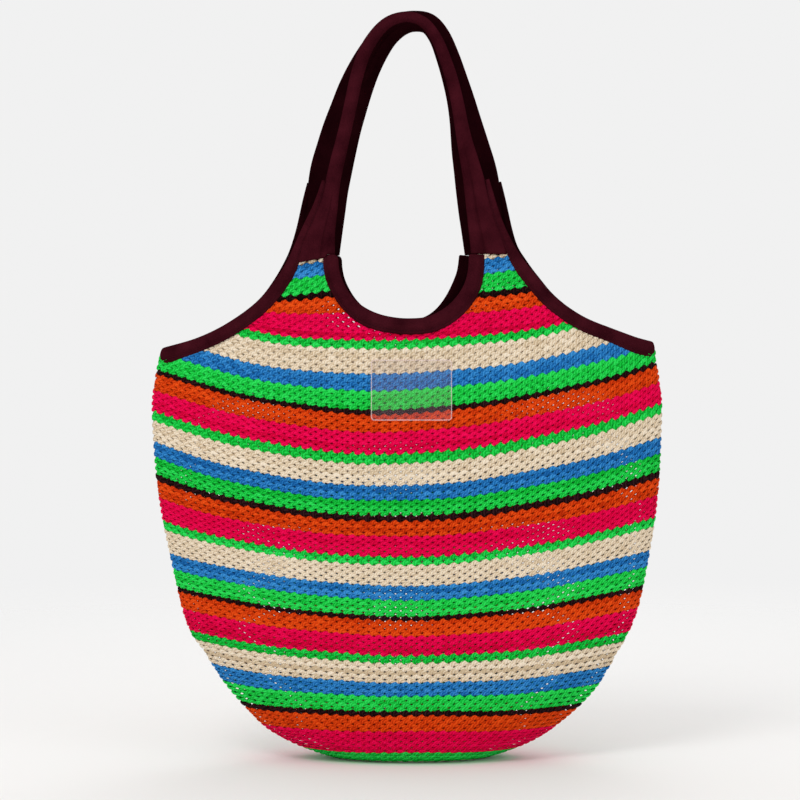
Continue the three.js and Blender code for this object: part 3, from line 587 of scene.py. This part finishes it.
def bar_object(name, rings, material):
    """A closed bar from rings of equal counts, its ends closed by quads across the ring, with a weight for
    painted shade on its faces that look inwards.
    """
    count, around = rings.shape[:2]
    end = (count - 1) * around
    j = np.arange(around // 2 - 1)
    first = np.stack([(j + 1), j, (around - 1 - j), (around - 2 - j)], -1)
    last = end + np.stack([j, (j + 1), (around - 2 - j), (around - 1 - j)], -1)
    quads = np.concatenate([ring_quads(count, around), first, last])
    points = rings.reshape(-1, 3)
    corners = points[quads]
    crossed = np.cross(corners[:, 2] - corners[:, 0], corners[:, 3] - corners[:, 1])
    if np.sum(corners.mean(1) * crossed) < 0:  # the faces look into the bar
        quads = quads[:, ::-1]
    piece = mesh_object(name, points, quads)
    piece.data.materials.append(material)
    mesh = piece.data
    # Painted shade: faces that look towards the bag's middle plane get an "inner" weight, by which the
    # cloth material darkens them
    facing = np.zeros(3 * len(mesh.vertices))
    mesh.vertices.foreach_get("normal", facing)
    outside = np.clip(points[:, 1] / MIDDLE_BLEND, -1, 1)
    t = np.clip((SHADE_START - facing[1::3] * outside) / SHADE_SPAN, 0, 1)
    mesh.attributes.new("inner", "FLOAT", "POINT").data.foreach_set("value", t * t * (3 - 2 * t))
    return piece


# Materials
INWARD_PAINTED_SHADE = 0.72  # how much the painted shade darkens the cloth on the side that lies inwards
PLY_LENGTH = 2.6  # along a strand, in millimetres, for one turn of its plies
PLIES = 3
PLY_HEIGHT = 0.35
# painted highlight on the ply ridges and painted shade between them, as a share of the tone
PLY_PAINTED_LIGHT = 0.28
FIBRE_TONE = 0.8
PATCHES_SHARE = 0.6  # of the cloth's large patches in its tone, against its fine grain
# Dark, middle and light tone of each yarn.
YARNS = {
    "pink": ((0.5, 0.0, 0.027), (0.75, 0.0005, 0.058), (0.86, 0.003, 0.094)),
    "green": ((0.002, 0.33, 0.02), (0.009, 0.565, 0.056), (0.03, 0.72, 0.11)),
    "cream": ((0.54, 0.41, 0.26), (0.765, 0.63, 0.46), (0.86, 0.75, 0.6)),
    "blue": ((0.006, 0.085, 0.29), (0.017, 0.175, 0.475), (0.05, 0.28, 0.64)),
    "orange": ((0.4, 0.02, 0.001), (0.67, 0.048, 0.003), (0.8, 0.085, 0.008)),
    "black": ((0.004, 0.001, 0.001), (0.012, 0.0025, 0.003), (0.035, 0.009, 0.012)),
}
PLASTIC_TONES = ((0.34, 0.24, 0.27), (0.48, 0.36, 0.4))
EDGE_TONES = ((0.86, 0.62, 0.62), (0.95, 0.84, 0.84))


def node(tree, kind, **settings):
    made = tree.nodes.new(kind)
    for key, value in settings.items():
        setattr(made, key, value)
    return made


def math_node(tree, operation, a, b=None):
    made = node(tree, "ShaderNodeMath", operation=operation)
    for socket, value in zip(made.inputs, (a, b)):
        if value is None:
            continue
        if isinstance(value, (int, float)):
            socket.default_value = value
        else:
            tree.links.new(value, socket)
    return made.outputs[0]


def new_material(name, roughness, gloss=0.5):
    material = bpy.data.materials.new(name)
    material.use_nodes = True
    shader = material.node_tree.nodes["Principled BSDF"]
    shader.inputs["Roughness"].default_value = roughness
    shader.inputs["Specular IOR Level"].default_value = gloss
    return material, material.node_tree, shader


def noise_node(tree, place, scale, detail):
    noise = node(tree, "ShaderNodeTexNoise")
    noise.inputs["Scale"].default_value = scale
    noise.inputs["Detail"].default_value = detail
    tree.links.new(place.outputs["Object"], noise.inputs["Vector"])
    return noise.outputs[0]


def tone_ramp(tree, value, stops):
    """Colour for a value, from two or three stops, each a position and its colour."""
    ramp = node(tree, "ShaderNodeValToRGB")
    elements = ramp.color_ramp.elements
    for element, (position, colour) in zip(list(elements), (stops[0], stops[-1])):
        element.position = position
        element.color = (*colour, 1)
    for position, colour in stops[1:-1]:
        elements.new(position).color = (*colour, 1)
    tree.links.new(value, ramp.inputs[0])
    return ramp.outputs[0]


def add_bump(tree, shader, height, strength, distance):
    bump = node(tree, "ShaderNodeBump")
    bump.inputs["Strength"].default_value = strength
    bump.inputs["Distance"].default_value = distance
    tree.links.new(height, bump.inputs["Height"])
    tree.links.new(bump.outputs[0], shader.inputs["Normal"])


def yarn_material(name, dark, main, light):
    """Twisted yarn: plies along the strand with a painted highlight on their ridges and painted shade
    between them, fibres, and a tone that changes from stitch to stitch.
    """
    material, tree, shader = new_material("yarn_" + name, roughness=0.75, gloss=0.03)
    link = tree.links.new
    uv = node(tree, "ShaderNodeUVMap", uv_map="along")
    split = node(tree, "ShaderNodeSeparateXYZ")
    link(uv.outputs[0], split.inputs[0])
    turn = math_node(tree, "MULTIPLY", split.outputs[0], 2 * math.pi / PLY_LENGTH)
    around = math_node(tree, "MULTIPLY", split.outputs[1], 2 * math.pi * PLIES)
    plies = math_node(tree, "SINE", math_node(tree, "ADD", turn, around))
    fibres = noise_node(tree, node(tree, "ShaderNodeTexCoord"), scale=900.0, detail=3.0)
    height = math_node(tree, "ADD", math_node(tree, "MULTIPLY", plies, PLY_HEIGHT), fibres)
    add_bump(tree, shader, height, strength=0.5, distance=0.0006)
    tone = node(tree, "ShaderNodeAttribute", attribute_name="tone")
    # Painted highlight and shade: the colour is lighter on the ply ridges and darker between them, with the
    # same wave as the bump
    mix = math_node(tree, "ADD", tone.outputs["Fac"], math_node(tree, "MULTIPLY", plies, PLY_PAINTED_LIGHT))
    grain = math_node(tree, "MULTIPLY", math_node(tree, "SUBTRACT", fibres, 0.5), FIBRE_TONE)
    mix = math_node(tree, "ADD", mix, grain)
    link(tone_ramp(tree, mix, ((0.1, dark), (0.5, main), (0.9, light))), shader.inputs["Base Color"])
    return material


def cloth_material(name, dark, light):
    """Fine ribbed cloth of the bindings and handles, with painted shade on the side that lies inwards."""
    material, tree, shader = new_material(name, roughness=0.9, gloss=0.0)
    link = tree.links.new
    place = node(tree, "ShaderNodeTexCoord")
    noise = noise_node(tree, place, scale=55.0, detail=5.0)
    grain = noise_node(tree, place, scale=1400.0, detail=2.0)
    weave = node(tree, "ShaderNodeTexWave", wave_type="BANDS", bands_direction="DIAGONAL")
    weave.inputs["Scale"].default_value = 260.0
    weave.inputs["Distortion"].default_value = 1.5
    weave.inputs["Detail"].default_value = 1.0
    link(place.outputs["Object"], weave.inputs["Vector"])
    patches = math_node(tree, "MULTIPLY", noise, PATCHES_SHARE)
    specks = math_node(tree, "MULTIPLY", grain, 1 - PATCHES_SHARE)
    tones = tone_ramp(tree, math_node(tree, "ADD", patches, specks), ((0.3, dark), (0.75, light)))
    # Painted shade: the colour is darkened by the "inner" weight, on faces that look inwards
    inner = node(tree, "ShaderNodeAttribute", attribute_name="inner")
    shade = node(tree, "ShaderNodeVectorMath", operation="SCALE")
    link(tones, shade.inputs[0])
    painted_shade_share = math_node(tree, "MULTIPLY", inner.outputs["Fac"], INWARD_PAINTED_SHADE)
    link(math_node(tree, "SUBTRACT", 1.0, painted_shade_share), shade.inputs["Scale"])
    link(shade.outputs[0], shader.inputs["Base Color"])
    height = math_node(tree, "ADD", weave.outputs["Fac"], grain)
    add_bump(tree, shader, height, strength=0.35, distance=0.0003)
    return material


def plastic_material(name, haze, tones):
    """Clear soft plastic with a faint haze that changes from place to place."""
    material, tree, shader = new_material(name, roughness=0.2, gloss=0.3)
    noise = noise_node(tree, node(tree, "ShaderNodeTexCoord"), scale=60.0, detail=2.0)
    colour = tone_ramp(tree, noise, ((0.0, tones[0]), (1.0, tones[1])))
    tree.links.new(colour, shader.inputs["Base Color"])
    shader.inputs["IOR"].default_value = 1.45
    shader.inputs["Alpha"].default_value = haze
    return material


yarn_looks = {name: yarn_material(name, *tones) for name, tones in YARNS.items()}
burgundy = cloth_material("binding_cloth", (0.017, 0.0018, 0.0036), (0.064, 0.0075, 0.0135))
thread_look = cloth_material("binding_thread", (0.022, 0.003, 0.006), (0.07, 0.012, 0.019))

SIDES_OF_BAG = [
    dict(name="front", side=-1, folds=FRONT_FOLDS, key="front", neck=NECK_FRONT, handle=HANDLE_FRONT),
    dict(name="back", side=1, folds=BACK_FOLDS, key="back", neck=NECK_BACK, handle=HANDLE_BACK),
]


def make_panel(half, rng):
    outline = panel_outline(half["key"], half["neck"])
    parts = {name: [] for name in YARNS}
    areas = {name: 0.0 for name in YARNS}
    for number, course in enumerate(course_list()):
        for strand in strand_lines(half["side"], half["folds"], outline, number, course, rng):
            parts[course["yarn"]].append(strand_arrays(strand))
            areas[course["yarn"]] += (strand["along"][-1] - strand["along"][0]) * course["tall"]
    for yarn, made in parts.items():
        offset = 0
        quads = []
        for m in made:
            quads.append(m["quads"] + offset)
            offset += len(m["points"])
        piece = mesh_object(
            f"panel_{half['name']}_{yarn}",
            np.concatenate([m["points"] for m in made]),
            np.concatenate(quads),
            np.concatenate([m["uv"] for m in made]),
            np.concatenate([m["tone"] for m in made]),
        )
        piece.data.materials.append(yarn_looks[yarn])
        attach(piece, "root")
        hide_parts("panel_" + half["name"])


rng = np.random.default_rng(SEED)
for half in SIDES_OF_BAG:
    make_panel(half, rng)


# Bindings
def section(groove_at):
    """Points of a rounded section, across and through, with a sewn groove on both faces."""
    angle = 2 * math.pi * (np.arange(BINDING_SIDES) + 0.5) / BINDING_SIDES
    c, n = np.cos(angle), np.sin(angle)
    reach = (np.abs(c) ** BINDING_POWER + np.abs(n) ** BINDING_POWER) ** (-1 / BINDING_POWER)
    c, n = c * reach, n * reach
    return c, n * (1 - GROOVE_DEEP * np.exp(-(((c - groove_at) / GROOVE_WIDE) ** 2)))


def line_frame(places, normals):
    """Direction across a line and out of the cloth at each of its places."""
    tangent = unit(np.gradient(places, axis=0))
    across = unit(np.cross(tangent, normals))
    return across, unit(np.cross(across, tangent))


def bar_rings(places, normals, wide, thick, shape):
    across, normal = line_frame(places, normals)
    c, n = shape
    rings = places[:, None, :] + across[:, None, :] * (wide[:, None] / 2 * c[None, :])[:, :, None]
    return rings + normal[:, None, :] * (thick[:, None] / 2 * n[None, :])[:, :, None]


def stitch_rows(name, places, normals, wide, thick, inward):
    """A row of short thread stitches in the groove of a bar."""
    across, normal = line_frame(places, normals)
    run = run_along(places)
    line = places + across * (inward * GROOVE_AT * wide / 2)[:, None]
    line = line + normal * (STITCH_DEEP * thick)[:, None]
    angle = 2 * math.pi * np.arange(SIDES) / SIDES
    rings, quads = [], []
    for start in np.arange(STITCH_MARGIN, run[-1] - STITCH_MARGIN, STITCH_PITCH):
        centre, n, a = at_places(start + STITCH_RUN, run, line, normal, across)
        centre = centre + n * STITCH_LIFT[:, None]
        ring = centre[:, None] + a[:, None] * (STITCH_SIZE[:, None] * np.cos(angle))[:, :, None]
        ring = ring + n[:, None] * (STITCH_SIZE[:, None] * np.sin(angle))[:, :, None]
        quads.append(len(rings) * len(STITCH_RUN) * SIDES + tube_quads(len(STITCH_RUN)))
        rings.append(ring.reshape(-1, 3))
    piece = mesh_object(name, np.concatenate(rings), np.concatenate(quads))
    piece.data.materials.append(thread_look)
    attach(piece, "root")


def arm_line(rows, corner):
    """Line of an armhole's binding, up the front and down the back, from corner to corner."""
    halves = []
    for half in SIDES_OF_BAG:
        side = [dict(x=r[half["key"]], z=r["z"], wide=r["wide"]) for r in rows]
        dense = smooth_rows(side, ["x", "z", "wide"], per_span=5)
        start = dense[0]
        end = np.array([*corner, CORNER_WIDE])
        turn = [start + (end - start) * t for t in CORNER_STEPS]
        line = np.array([*turn, *dense])
        place = (half["side"], half["folds"], line[:, 0], line[:, 1])
        fade = np.clip((rows[-1]["z"] - line[:, 1]) / ARM_TIP_LONG, 0, 1)
        thick = ARM_TIP_THICK + (BINDING_THICK - ARM_TIP_THICK) * fade
        halves.append((surface_point(*place), surface_normal(*place), line[:, 2], thick))
    joined = [np.concatenate([front[::-1], back[1:]]) for front, back in zip(*halves)]
    places, normals, wide, thick = even_steps(joined, joined[0], ARM_STEP)
    places = relax(places, rounds=9)
    normals = unit(relax(normals, rounds=4))
    return places, normals, wide[:, 0], thick[:, 0]


def neck_line(half):
    line = smooth_rows(half["neck"], ["x", "z", "wide"], per_span=6)
    place = (half["side"], half["folds"], line[:, 0], line[:, 1])
    places, normals = surface_point(*place), surface_normal(*place)
    places, normals, wide = even_steps([places, normals, line[:, 2:]], places, NECK_STEP)
    run = run_along(places)
    size = np.ones(len(run))
    for end, away in (("left", run), ("right", run[-1] - run)):
        to_end = np.clip(away / NECK_END_ROUND[end], 0, 1)
        size *= NECK_END_SMALL[end] + (1 - NECK_END_SMALL[end]) * np.sqrt(1 - (1 - to_end) ** 2)
    return places, unit(normals), wide[:, 0] * size, NECK_THICK * np.maximum(size, NECK_END_THICK)


def make_binding(name, line, inward):
    """A binding as a replacement of its node, with its stitches."""
    rings = bar_rings(*line, section(inward * GROOVE_AT))
    piece = bar_object(name + "_cloth", rings, burgundy)
    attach(piece, "root")
    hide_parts(name)
    stitch_rows(name.replace("binding", "stitches"), *line, inward)


make_binding("arm_binding_left", arm_line(ARM_LEFT, CORNER["left"]), -1)
make_binding("arm_binding_right", arm_line(ARM_RIGHT, CORNER["right"]), 1)
for half in SIDES_OF_BAG:
    make_binding("neck_binding_" + half["name"], neck_line(half), -half["side"])


# Handles
ACROSS = np.array(
    [-1, -0.998, -0.99, -0.97, -0.935, -0.88, -0.79, -0.68, -0.56, -0.44, -0.34, -0.28, -0.235, -0.2]
    + [-0.165, -0.12, -0.02, 0.12, 0.28, 0.44, 0.58, 0.71, 0.81, 0.89, 0.945, 0.977, 0.993, 1]
)
FOLD_MIDDLE = -0.6  # middle of the folded inner edge, across the handle's foot
FOLD_HALF = 0.4
FOLD_POWER = 2.6
WEB_SHARE = 0.72  # thickness of the web beside the fold
WEB_POWER = 9
WEB_ROUND = 0.4
SEAM_AT = -0.2
SEAM_WIDE = 0.045
SEAM_DEEP = 0.34
ROLL_POWER = 2.3
HANDLE_STEPS = 190


def foot_half(u):
    """Half thickness of a handle's foot, inner edge to outer edge: a fold, a sewn groove and a web."""
    fold = np.clip(1 - np.abs((u - FOLD_MIDDLE) / FOLD_HALF) ** FOLD_POWER, 0, 1) ** (1 / FOLD_POWER)
    web = WEB_SHARE * np.clip(1 - np.clip(u, 0, 1) ** WEB_POWER, 0, 1) ** WEB_ROUND
    web = np.where(u < FOLD_MIDDLE, 0, web)
    groove = 1 - SEAM_DEEP * np.exp(-(((u - SEAM_AT) / SEAM_WIDE) ** 2))
    return np.maximum(fold, web) * groove


def roll_half(u):
    return np.clip(1 - np.abs(u) ** ROLL_POWER, 0, 1) ** (1 / ROLL_POWER)


def hem_level(x):
    """Level of the handles' lower edge at these places across the bag."""
    levels = []
    for hem, away in ((HEM_LEFT, -x), (HEM_RIGHT, x)):
        slope = np.interp(away, [abs(hem["step"]), HEM_FAR], [hem["inner"], hem["outer"]])
        levels.append(np.where(away < abs(hem["step"]), hem["fold"], slope))
    return np.where(x < 0, *levels)


def make_handle(half):
    line = smooth_rows(half["handle"], ["x", "y", "z", "wide", "thick", "roll"], per_span=8)
    places = line[:, :3]
    tangent = unit(np.gradient(places, axis=0))
    outward = unit(np.stack([-tangent[:, 2], np.zeros(len(line)), tangent[:, 0]], -1))
    face = unit(np.cross(outward, tangent))
    wide = line[:, 3]
    sizes = np.stack([wide, line[:, 4], np.clip(line[:, 5], 0, 1)], -1)
    order = np.arange(len(line))
    middle = len(line) // 2
    columns = []
    for u in ACROSS:
        edge = places + outward * (u * wide / 2)[:, None]
        clear = edge[:, 2] - hem_level(edge[:, 0])
        low = int(np.flatnonzero(clear[:middle] < 0).max(initial=-1))
        high = int(middle + np.flatnonzero(clear[middle:] < 0).min(initial=len(line) - middle))
        start, stop = 0.0, float(len(line) - 1)
        if low >= 0:
            start = low + clear[low] / (clear[low] - clear[low + 1])
        if high < len(line):
            stop = high - 1 + clear[high - 1] / (clear[high - 1] - clear[high])
        columns.append(np.linspace(start, stop, HANDLE_STEPS + 1))
    rings = []
    for sign, cells in ((1, range(len(ACROSS))), (-1, range(len(ACROSS) - 2, 0, -1))):
        for cell in cells:
            u = ACROSS[cell]
            place, out, up, size = at_places(columns[cell], order, places, outward, face, sizes)
            w, t, r = size.T
            half_thick = (foot_half(u) * (1 - r) + roll_half(u) * r) * t / 2
            place = place + unit(out) * (u * w / 2)[:, None]
            rings.append(place + unit(up) * (sign * half_thick)[:, None])
    piece = bar_object("handle_" + half["name"] + "_cloth", np.stack(rings, 1), burgundy)
    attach(piece, "root")
    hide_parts("handle_" + half["name"])


for half in SIDES_OF_BAG:
    make_handle(half)


# Clear patch: a thin see-through plate with rounded corners, and a paler bead round its edge
PLATE_HAZE = 0.055
EDGE_HAZE = 0.3
BEAD_IN = 0.55  # from the plate's edge to the bead's middle
BEAD_HALF = (0.48, 0.46)  # half its width and half its thickness
BEAD_SIDES = 8


def patch_grid():
    high, low, corner = PATCH["high"], PATCH["low"], PATCH["corner"]
    turn = corner * (1 - np.cos(np.linspace(0, math.pi / 2, 7)))
    straight = np.linspace(low + corner, high - corner, 24)[1:-1]
    rows = np.concatenate([low + turn, straight, high - turn[::-1]])
    to_edge = np.minimum(rows - low, high - rows)
    inset = corner - np.sqrt(np.clip(corner**2 - np.clip(corner - to_edge, 0, None) ** 2, 0, None))
    columns = np.concatenate([[0, 0.012], np.linspace(0.03, 0.97, 38), [0.988, 1]])
    x = PATCH["left"] + inset[:, None]
    x = x + (PATCH["right"] - PATCH["left"] - 2 * inset[:, None]) * columns[None, :]
    return x, np.repeat(rows[:, None], len(columns), 1)


def make_patch():
    lift = CLOTH / 2 + PATCH["lift"] + PATCH["thick"] / 2
    x, z = patch_grid()
    normal = surface_normal(-1, FRONT_FOLDS, x, z)
    middle = surface_point(-1, FRONT_FOLDS, x, z) + normal * lift
    front = middle + normal * PATCH["thick"] / 2
    back = middle - normal * PATCH["thick"] / 2
    n_rows, n_columns = x.shape
    points = np.concatenate([front.reshape(-1, 3), back.reshape(-1, 3)])
    i, j = np.meshgrid(np.arange(n_rows - 1), np.arange(n_columns - 1), indexing="ij")
    a = (i * n_columns + j).ravel()
    quads = np.stack([a, a + 1, a + 1 + n_columns, a + n_columns], -1)
    under = n_rows * n_columns
    plate = np.concatenate([quads, quads[:, ::-1] + under])
    rim = list(range(n_columns))
    rim += [i * n_columns + n_columns - 1 for i in range(1, n_rows)]
    rim += [(n_rows - 1) * n_columns + j for j in range(n_columns - 2, -1, -1)]
    rim += [i * n_columns for i in range(n_rows - 2, 0, -1)]
    rim = np.array(rim)
    following = np.roll(rim, -1)
    walls = np.stack([rim, rim + under, following + under, following], -1)
    piece = mesh_object("clear_patch_plate", points, np.concatenate([plate, walls]))
    piece.data.materials.append(plastic_material("clear_plastic", PLATE_HAZE, PLASTIC_TONES))
    edge = front.reshape(-1, 3)[rim]
    edge_normal = normal.reshape(-1, 3)[rim]
    tangent = unit(np.roll(edge, -1, 0) - np.roll(edge, 1, 0))
    inward = unit(np.cross(edge_normal, tangent))
    inward *= np.sign(np.sum(inward * (middle.reshape(-1, 3).mean(0) - edge), -1, keepdims=True))
    centre = edge + inward * BEAD_IN - edge_normal * (PATCH["thick"] / 2)
    angle = 2 * math.pi * (np.arange(BEAD_SIDES) + 0.5) / BEAD_SIDES
    ring = centre[:, None] + inward[:, None] * (BEAD_HALF[0] * np.cos(angle))[None, :, None]
    ring = ring + edge_normal[:, None] * (BEAD_HALF[1] * np.sin(angle))[None, :, None]
    quads = ring_quads(len(rim), BEAD_SIDES, closed=True)
    bead = mesh_object("clear_patch_edge", ring.reshape(-1, 3), quads)
    bead.data.materials.append(plastic_material("clear_plastic_edge", EDGE_HAZE, EDGE_TONES))
    for made in (piece, bead):
        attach(made, "root")
        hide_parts("clear_patch")


make_patch()


# Stage: a pale floor that fades out, a pale surround and three soft lamps
WORLD_TONE = 0.935
WORLD_STRENGTH = 0.94
FLOOR_TONE = (0.83, 0.82, 0.81)
FLOOR_SIZE = 6.0
FLOOR_FADE = (0.35, 1.6)  # distance at which the floor starts to fade and where it has gone
LAMPS = named_rows("name place aim size power", [
    ("key", (-0.9, -1.7, 2.2), (0, 0, 0.3), 1.0, 19),
    ("fill", (1.7, -1.5, 1.0), (0, 0, 0.3), 1.4, 3),
    ("back", (0.3, 1.8, 1.7), (0, 0, 0.35), 1.4, 9),
])


def make_floor():
    bpy.ops.mesh.primitive_plane_add(size=FLOOR_SIZE, location=(0, 0, 0))
    floor = bpy.context.object
    floor.name = "pale_floor"
    material, tree, shader = new_material("pale_floor", roughness=0.9)
    link = tree.links.new
    place = node(tree, "ShaderNodeTexCoord")
    length = node(tree, "ShaderNodeVectorMath", operation="LENGTH")
    link(place.outputs["Object"], length.inputs[0])
    fade = node(tree, "ShaderNodeMapRange")
    fade.inputs["From Min"].default_value = FLOOR_FADE[0]
    fade.inputs["From Max"].default_value = FLOOR_FADE[1]
    fade.inputs["To Min"].default_value = 1.0
    fade.inputs["To Max"].default_value = 0.0
    link(length.outputs["Value"], fade.inputs["Value"])
    link(fade.outputs[0], shader.inputs["Alpha"])
    shader.inputs["Base Color"].default_value = (*FLOOR_TONE, 1)
    floor.data.materials.append(material)


def make_light():
    world = bpy.data.worlds.new("studio")
    bpy.context.scene.world = world
    world.use_nodes = True
    background = world.node_tree.nodes["Background"]
    background.inputs["Color"].default_value = (WORLD_TONE, WORLD_TONE, WORLD_TONE, 1)
    background.inputs["Strength"].default_value = WORLD_STRENGTH
    for row in LAMPS:
        data = bpy.data.lights.new(row["name"], "AREA")
        data.size = row["size"]
        data.energy = row["power"]
        lamp = bpy.data.objects.new(row["name"], data)
        lamp.location = row["place"]
        bpy.context.scene.collection.objects.link(lamp)
        direction = Vector(row["aim"]) - Vector(row["place"])
        lamp.rotation_euler = direction.to_track_quat("-Z", "Y").to_euler()


make_floor()
make_light()

# Camera: nearly level and far off, so that 0.68 m at the bag fills the frame's 800 pixels.
SENSOR = 36.0
VIEW_WIDE = 0.68
VIEW_DISTANCE = 2.4
VIEW_UP = 2.0  # degrees
AIM = (-0.0068 + SHIFT_X, 0.0, 0.305)


def make_camera():
    data = bpy.data.cameras.new("camera")
    data.sensor_width = SENSOR
    data.lens = SENSOR * VIEW_DISTANCE / VIEW_WIDE
    camera = bpy.data.objects.new("camera", data)
    angle = math.radians(VIEW_UP)
    back = Vector((0, -math.cos(angle), math.sin(angle)))
    camera.location = Vector(AIM) + back * VIEW_DISTANCE
    camera.rotation_euler = (-back).to_track_quat("-Z", "Y").to_euler()
    bpy.context.scene.collection.objects.link(camera)
    bpy.context.scene.camera = camera
    bpy.context.scene.view_settings.view_transform = "Standard"


make_camera()
